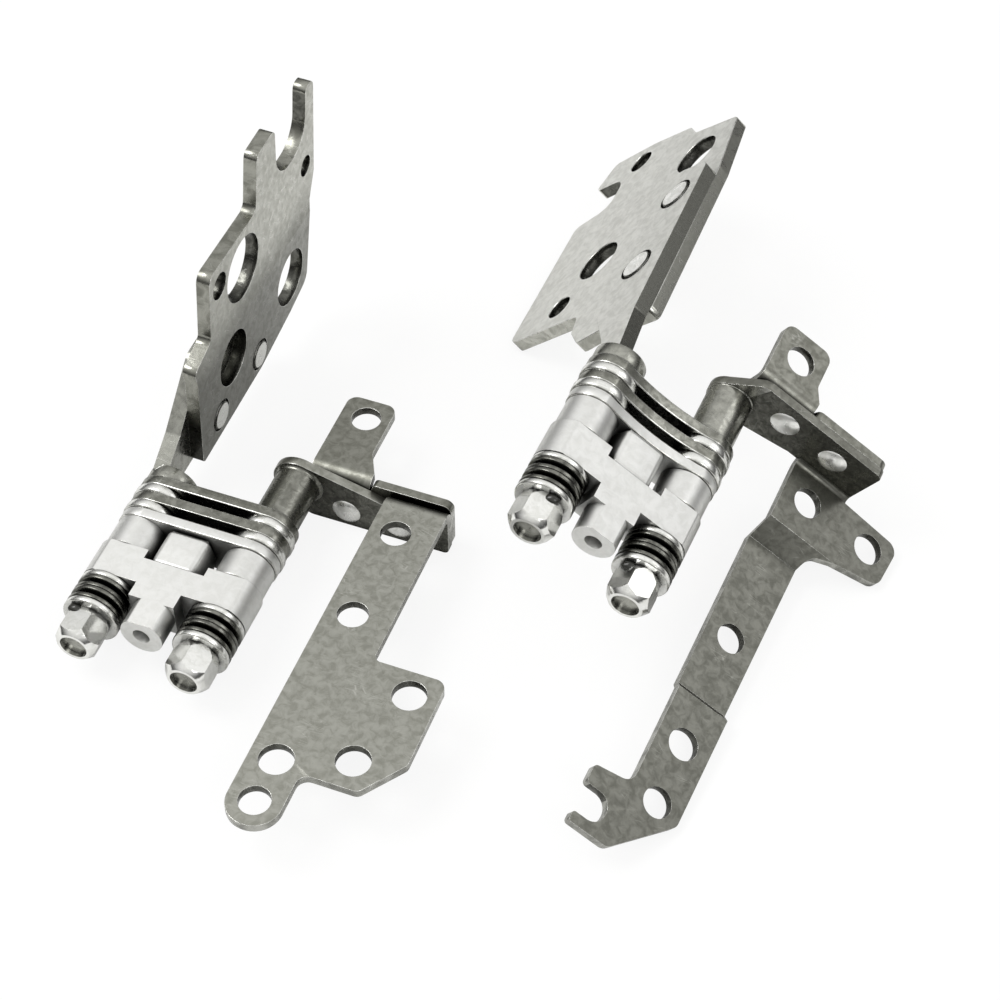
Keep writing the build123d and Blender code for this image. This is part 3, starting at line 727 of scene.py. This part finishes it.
@dataclass
class RoundedNode:
    """A CAD node shown as a copy whose sharp edges are rounded as stamping or milling leaves them."""

    node: str
    face: Finish
    rim: Finish
    edge_width: float = 0.1
    patches: tuple[Patch, ...] = ()
    sharp_angle: float = 38.0

    def build(self) -> bpy.types.Object:
        """Copies the node, merges its triangles and rounds its sharp edges.

        Returns:
            The finished piece, riding on the node's body in place of the node.
        """
        source = FRAME["nodes"][self.node]
        piece = bpy.data.objects.new(f"{self.node}_rounded", source.data.copy())
        bpy.context.scene.collection.objects.link(piece)
        bpy.ops.object.select_all(action="DESELECT")
        piece.select_set(True)
        bpy.context.view_layer.objects.active = piece
        bpy.ops.object.mode_set(mode="EDIT")
        bpy.ops.mesh.select_all(action="SELECT")
        bpy.ops.mesh.remove_doubles(threshold=0.0005 * MM)
        bpy.ops.mesh.dissolve_limited(angle_limit=radians(0.5))
        bpy.ops.object.mode_set(mode="OBJECT")
        self._dress(piece)
        rounding = piece.modifiers.new("rounding", "BEVEL")
        rounding.width = self.edge_width * MM
        rounding.segments = 2
        rounding.limit_method = "ANGLE"
        rounding.angle_limit = radians(self.sharp_angle)
        rounding.material = 1
        bpy.ops.object.modifier_apply(modifier=rounding.name)
        bpy.ops.object.shade_smooth_by_angle(angle=radians(50))
        flat = piece.modifiers.new("flat_faces", "WEIGHTED_NORMAL")
        flat.keep_sharp = True
        bpy.ops.object.modifier_apply(modifier=flat.name)
        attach(piece, source["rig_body"])
        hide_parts(self.node)
        LOG.info("%s: %d faces", piece.name, len(piece.data.polygons))
        return piece

    def _dress(self, piece: bpy.types.Object) -> None:
        """Gives the piece its face and rim finishes, and each patch its own.

        Args:
            piece: The copy of the node, before its edges are rounded.
        """
        piece.data.materials.clear()
        for finish in (self.face, self.rim, *(patch.finish for patch in self.patches)):
            piece.data.materials.append(finish.value.material())
        points = [vertex.co for vertex in piece.data.vertices]
        walls = BVHTree.FromPolygons(points, [tuple(polygon.vertices) for polygon in piece.data.polygons])
        for polygon in piece.data.polygons:
            polygon.material_index = 0
            for slot, patch in enumerate(self.patches, start=2):
                if patch.takes(polygon, walls):
                    polygon.material_index = slot


@dataclass
class LidSide:
    """What turns with the lid: the stamped plate, the shaft with its leaf, and their rivets."""

    side: str
    plate: Finish
    edge: Finish
    leaf: Finish
    leaf_rim: Finish
    plate_edge: float = 0.16
    leaf_edge: float = 0.14
    rivet_edge: float = 0.12
    hole_reach: float = 6.6

    def build(self) -> None:
        """Builds and dresses the lid side."""
        axes = HingeAxes.of(self.side)
        broad = Patch(self.plate, axes.lid_plate, 40.0, both_ways=True)
        leaf = Patch(self.leaf, axes.lid_plate, 30.0, both_ways=True, least_area=6.0)
        shaded_bores = shaded_bore_patches(axes.lid_plate, axes.shaft, self.hole_reach)
        lid = RoundedNode(
            f"{self.side}_lid_bracket", self.edge, Finish.RIM, self.plate_edge, (broad, *shaded_bores)
        )
        shaft = RoundedNode(f"{self.side}_lid_shaft", Finish.TURNED, self.leaf_rim, self.leaf_edge, (leaf,))
        # The rivets' rounded rims get painted shade, a dark ring round each head.
        rivets = RoundedNode(f"{self.side}_lid_rivets", Finish.RIVET, Finish.BORE, self.rivet_edge)
        for node in (lid, shaft, rivets):
            node.build()


@dataclass
class BaseSide:
    """What is screwed to the base: the folded bracket, the tab bracket, their rivets and the shaft."""

    side: str
    plate: Finish
    tab: Finish
    stub: Finish
    sheet_edge: float = 0.12
    shaft_edge: float = 0.1
    rivet_edge: float = 0.06
    ear_area: float = 6.0
    hole_reach: float = 3.4

    def build(self) -> None:
        """Builds and dresses the base side."""
        axes = HingeAxes.of(self.side)
        # Painted shade on the ear's front faces, picked by their direction.
        shaded_ear_patch = Patch(Finish.EAR, -axes.shaft, 20.0, least_area=self.ear_area)
        back = Patch(self.plate, axes.shaft, 20.0, least_area=self.ear_area)
        for name, plate, finish in (
            ("base_bracket", axes.base_plate, self.plate),
            ("tab_bracket", axes.tab_plate, self.tab),
        ):
            broad = Patch(finish, plate, 80.0, both_ways=True)
            shaded_bores = shaded_bore_patches(plate, axes.shaft, self.hole_reach)
            RoundedNode(
                f"{self.side}_{name}", Finish.SHEARED, Finish.RIM, self.sheet_edge, (broad, shaded_ear_patch, back, *shaded_bores)
            ).build()
        RoundedNode(f"{self.side}_base_shaft", self.stub, Finish.RIM, self.shaft_edge).build()
        RoundedNode(f"{self.side}_base_rivets", Finish.RIVET, Finish.RIVET, self.rivet_edge).build()


@dataclass
class FrictionStack:
    """The link plates, washers, cams and blocks between the two shafts."""

    side: str
    link_edge: float = 0.12
    washer_edge: float = 0.16
    block_edge: float = 0.12
    lock_edge: float = 0.42

    def build(self) -> None:
        """Builds and dresses the stack."""
        for name, finish in (
            ("outer_link", Finish.LINK),
            ("middle_link", Finish.LINK),
            ("inner_link", Finish.BLOCK),
        ):
            RoundedNode(f"{self.side}_{name}", finish, Finish.RIM, self.link_edge).build()
        for name in ("lid_friction_washers", "base_friction_washers", "lid_seat_washer", "base_seat_washer"):
            RoundedNode(f"{self.side}_{name}", Finish.WASHER, Finish.RIM, self.washer_edge).build()
        for name in ("lid_cam", "base_cam", "bearing_block"):
            RoundedNode(f"{self.side}_{name}", Finish.BLOCK, Finish.RIM, self.block_edge).build()
        RoundedNode(f"{self.side}_lock_block", Finish.BLOCK, Finish.BLOCK, self.lock_edge).build()


@dataclass
class NutEnd:
    """The disc springs, end washer and nut on one shaft, with a drop of thread lock on some nuts."""

    side: str
    shaft: str
    drop_turn: float | None = None
    spring_edge: float = 0.06
    washer_edge: float = 0.14
    nut_edge: float = 0.07
    drop_radius: float = 0.62
    drop_out: float = 1.75

    def build(self) -> None:
        """Builds and dresses the end of the shaft."""
        start = f"{self.side}_{self.shaft}"
        RoundedNode(f"{start}_disc_springs", Finish.SPRING, Finish.SPRING, self.spring_edge).build()
        RoundedNode(f"{start}_end_washer", Finish.WASHER, Finish.RIM, self.washer_edge).build()
        RoundedNode(f"{start}_nut", Finish.NUT, Finish.RIM, self.nut_edge).build()
        if self.drop_turn is not None:
            self._drop(f"{start}_nut")

    def _drop(self, nut: str) -> None:
        """Models the dried drop of thread lock at the back of a nut.

        Args:
            nut: The nut's node.
        """
        axis = HingeAxes.of(self.side).shaft
        points = [vertex.co for vertex in FRAME["nodes"][nut].data.vertices]
        back = max(point.dot(axis) for point in points)
        middle = sum(points, Vector()) / len(points)
        level = Vector((1.0, 0.0, 0.0))
        level = (level - axis * level.dot(axis)).normalized()
        upright = level.cross(axis)
        turn = radians(self.drop_turn)
        out = level * cos(turn) + upright * sin(turn)
        place = middle - axis * middle.dot(axis) + axis * (back - 0.5 * self.drop_radius * MM)
        place += out * self.drop_out * MM
        bpy.ops.object.select_all(action="DESELECT")
        bpy.ops.mesh.primitive_ico_sphere_add(subdivisions=3, radius=self.drop_radius * MM)
        drop = bpy.context.active_object
        drop.name = f"{nut}_thread_lock"
        bpy.ops.object.mode_set(mode="EDIT")
        bpy.ops.mesh.select_all(action="SELECT")
        bpy.ops.transform.vertex_random(offset=0.22 * self.drop_radius * MM, seed=7)
        bpy.ops.mesh.vertices_smooth(factor=0.6, repeat=2)
        bpy.ops.transform.resize(value=(1.25, 0.85, 0.95))
        bpy.ops.transform.translate(value=place)
        bpy.ops.object.mode_set(mode="OBJECT")
        softening = drop.modifiers.new("softening", "SUBSURF")
        softening.levels = 1
        softening.render_levels = 1
        bpy.ops.object.modifier_apply(modifier=softening.name)
        bpy.ops.object.shade_smooth()
        drop.data.materials.append(Finish.THREAD_LOCK.value.material())
        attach(drop, FRAME["nodes"][nut]["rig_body"])
        LOG.info("%s: %d faces", drop.name, len(drop.data.polygons))


@dataclass(frozen=True)
class Lamp:
    """A soft round lamp that points at the pair, sized in metres and watts."""

    name: str
    place: Point
    size: float
    power: float

    def build(self) -> None:
        """Hangs the lamp."""
        lamp = bpy.data.lights.new(self.name, "AREA")
        lamp.shape = "DISK"
        lamp.size = self.size
        lamp.energy = self.power
        hung = bpy.data.objects.new(self.name, lamp)
        hung.location = self.place
        hung.rotation_euler = Vector(self.place).to_track_quat("Z", "Y").to_euler()
        bpy.context.scene.collection.objects.link(hung)


@dataclass
class Studio:
    """Floor, light and camera."""

    lamps: tuple[Lamp, ...] = (
        Lamp("key_lamp", (-0.26, -0.06, 0.4), 0.26, 1.0),
        Lamp("fill_lamp", (0.3, -0.26, 0.34), 0.22, 0.35),
        Lamp("back_lamp", (0.31, 0.2, 0.29), 0.22, 0.12),
    )
    target: Point = (28.543, 8.693, 1.5)
    azimuth: float = 20.7
    elevation: float = 49.5
    distance: float = 204.0
    lens: float = 82.8
    floor_reach: float = 3.0
    paper_reach: float = 0.15
    paper_fade: float = 0.3
    paper_dim: float = 0.22
    shadow_share: float = 0.13
    fill_strength: float = 0.75
    horizon_strength: float = 0.06
    overhead_strength: float = 1.0
    overhead_from: float = 0.9

    def build(self) -> None:
        """Builds the whole studio."""
        self._floor()
        self._world()
        for lamp in self.lamps:
            lamp.build()
        self._camera()
        bpy.context.scene.view_settings.view_transform = "Standard"

    def _floor(self) -> None:
        """Lays white paper under the pair, which the camera sees as white and metal sees end."""
        bpy.ops.object.select_all(action="DESELECT")
        bpy.ops.mesh.primitive_plane_add(size=self.floor_reach, location=(0, 0, -0.00002))
        floor = bpy.context.active_object
        floor.name = "studio_floor"
        paint = bpy.data.materials.new("studio_floor_white")
        paint.use_nodes = True
        tree = paint.node_tree
        shader = tree.nodes["Principled BSDF"]
        shader.inputs["Roughness"].default_value = 0.9
        shader.inputs["Specular IOR Level"].default_value = 0.0
        place = tree.nodes.new("ShaderNodeTexCoord")
        reach = tree.nodes.new("ShaderNodeVectorMath")
        reach.operation = "LENGTH"
        beyond = tree.nodes.new("ShaderNodeMapRange")
        beyond.interpolation_type = "SMOOTHSTEP"
        beyond.inputs["From Min"].default_value = self.paper_reach
        beyond.inputs["From Max"].default_value = self.paper_fade
        beyond.inputs["To Min"].default_value = self.paper_dim
        rays = tree.nodes.new("ShaderNodeLightPath")
        dim = tree.nodes.new("ShaderNodeMath")
        dim.operation = "MULTIPLY"
        paper = tree.nodes.new("ShaderNodeMix")
        paper.data_type = "RGBA"
        paper.inputs["A"].default_value = (0.96, 0.96, 0.95, 1.0)
        paper.inputs["B"].default_value = (0.1, 0.1, 0.095, 1.0)
        white = tree.nodes.new("ShaderNodeEmission")
        seen = tree.nodes.new("ShaderNodeMath")
        seen.operation = "MULTIPLY"
        seen.inputs[1].default_value = 1.0 - self.shadow_share
        choose = tree.nodes.new("ShaderNodeMixShader")
        out = tree.nodes["Material Output"]
        tree.links.new(place.outputs["Object"], reach.inputs[0])
        tree.links.new(reach.outputs["Value"], beyond.inputs["Value"])
        tree.links.new(beyond.outputs["Result"], dim.inputs[0])
        tree.links.new(rays.outputs["Is Glossy Ray"], dim.inputs[1])
        tree.links.new(dim.outputs["Value"], paper.inputs["Factor"])
        tree.links.new(paper.outputs["Result"], shader.inputs["Base Color"])
        tree.links.new(rays.outputs["Is Camera Ray"], seen.inputs[0])
        tree.links.new(seen.outputs["Value"], choose.inputs["Fac"])
        tree.links.new(shader.outputs["BSDF"], choose.inputs[1])
        tree.links.new(white.outputs["Emission"], choose.inputs[2])
        tree.links.new(choose.outputs["Shader"], out.inputs["Surface"])
        floor.data.materials.append(paint)

    def _world(self) -> None:
        """Sets a soft sky: white to the camera, brighter overhead than at the horizon to the metal."""
        world = bpy.data.worlds.new("studio_sky")
        bpy.context.scene.world = world
        world.use_nodes = True
        tree = world.node_tree
        tree.nodes.clear()
        rays = tree.nodes.new("ShaderNodeLightPath")
        way = tree.nodes.new("ShaderNodeTexCoord")
        parts = tree.nodes.new("ShaderNodeSeparateXYZ")
        height = tree.nodes.new("ShaderNodeMapRange")
        height.interpolation_type = "SMOOTHSTEP"
        height.inputs["From Min"].default_value = 0.0
        height.inputs["From Max"].default_value = self.overhead_from
        height.inputs["To Min"].default_value = self.horizon_strength
        height.inputs["To Max"].default_value = self.overhead_strength
        fill = tree.nodes.new("ShaderNodeBackground")
        fill.inputs["Color"].default_value = (1.0, 1.0, 0.99, 1.0)
        fill.inputs["Strength"].default_value = self.fill_strength
        dome = tree.nodes.new("ShaderNodeBackground")
        dome.inputs["Color"].default_value = (1.0, 1.0, 0.985, 1.0)
        white = tree.nodes.new("ShaderNodeBackground")
        white.inputs["Color"].default_value = (1.0, 1.0, 1.0, 1.0)
        white.inputs["Strength"].default_value = 1.0
        seen = tree.nodes.new("ShaderNodeMath")
        seen.operation = "MAXIMUM"
        mirrored = tree.nodes.new("ShaderNodeMixShader")
        choose = tree.nodes.new("ShaderNodeMixShader")
        out = tree.nodes.new("ShaderNodeOutputWorld")
        tree.links.new(way.outputs["Generated"], parts.inputs["Vector"])
        tree.links.new(parts.outputs["Z"], height.inputs["Value"])
        tree.links.new(height.outputs["Result"], dome.inputs["Strength"])
        tree.links.new(rays.outputs["Is Glossy Ray"], mirrored.inputs["Fac"])
        tree.links.new(fill.outputs["Background"], mirrored.inputs[1])
        tree.links.new(dome.outputs["Background"], mirrored.inputs[2])
        tree.links.new(rays.outputs["Is Camera Ray"], seen.inputs[0])
        tree.links.new(rays.outputs["Is Transmission Ray"], seen.inputs[1])
        tree.links.new(seen.outputs["Value"], choose.inputs["Fac"])
        tree.links.new(mirrored.outputs["Shader"], choose.inputs[1])
        tree.links.new(white.outputs["Background"], choose.inputs[2])
        tree.links.new(choose.outputs["Shader"], out.inputs["Surface"])

    def _camera(self) -> None:
        """Sets the camera at the photograph's angle, aimed from the left lid's pivot."""
        pivot = next(joint for joint in FRAME["joints"] if joint["name"] == "left_lid_pivot")
        aim = Vector(pivot["pos_m"]) + Vector(self.target) * MM
        turn, tilt = radians(self.azimuth), radians(self.elevation)
        back = Vector((sin(turn) * cos(tilt), -cos(turn) * cos(tilt), sin(tilt)))
        view = bpy.data.cameras.new("photo_view")
        view.lens = self.lens
        view.sensor_width = 36.0
        view.sensor_fit = "HORIZONTAL"
        view.clip_start = 0.005
        stand = bpy.data.objects.new("photo_view", view)
        stand.location = aim + back * self.distance * MM
        stand.rotation_euler = (radians(90.0) - tilt, 0.0, turn)
        bpy.context.scene.collection.objects.link(stand)
        bpy.context.scene.camera = stand


def main() -> None:
    """Builds both hinges and the studio, in order."""
    logging.basicConfig(level=logging.INFO, format="%(name)s: %(message)s")
    for piece in (
        LidSide("left", Finish.OILY_LID, Finish.OILY_EDGE, Finish.LEAF, Finish.RIM),
        BaseSide("left", Finish.PLATE, Finish.TAB, Finish.LINK),
        FrictionStack("left"),
        LidSide("right", Finish.LID, Finish.PALE_EDGE, Finish.LID, Finish.LINK),
        BaseSide("right", Finish.WORN_PLATE, Finish.TAB, Finish.TURNED),
        FrictionStack("right"),
        NutEnd("left", "lid", drop_turn=125.0),
        NutEnd("left", "base"),
        NutEnd("right", "lid", drop_turn=55.0),
        NutEnd("right", "base", drop_turn=120.0),
        Studio(),
    ):
        piece.build()
        LOG.info("%s done", type(piece).__name__)


if __name__ == "__main__":
    main()
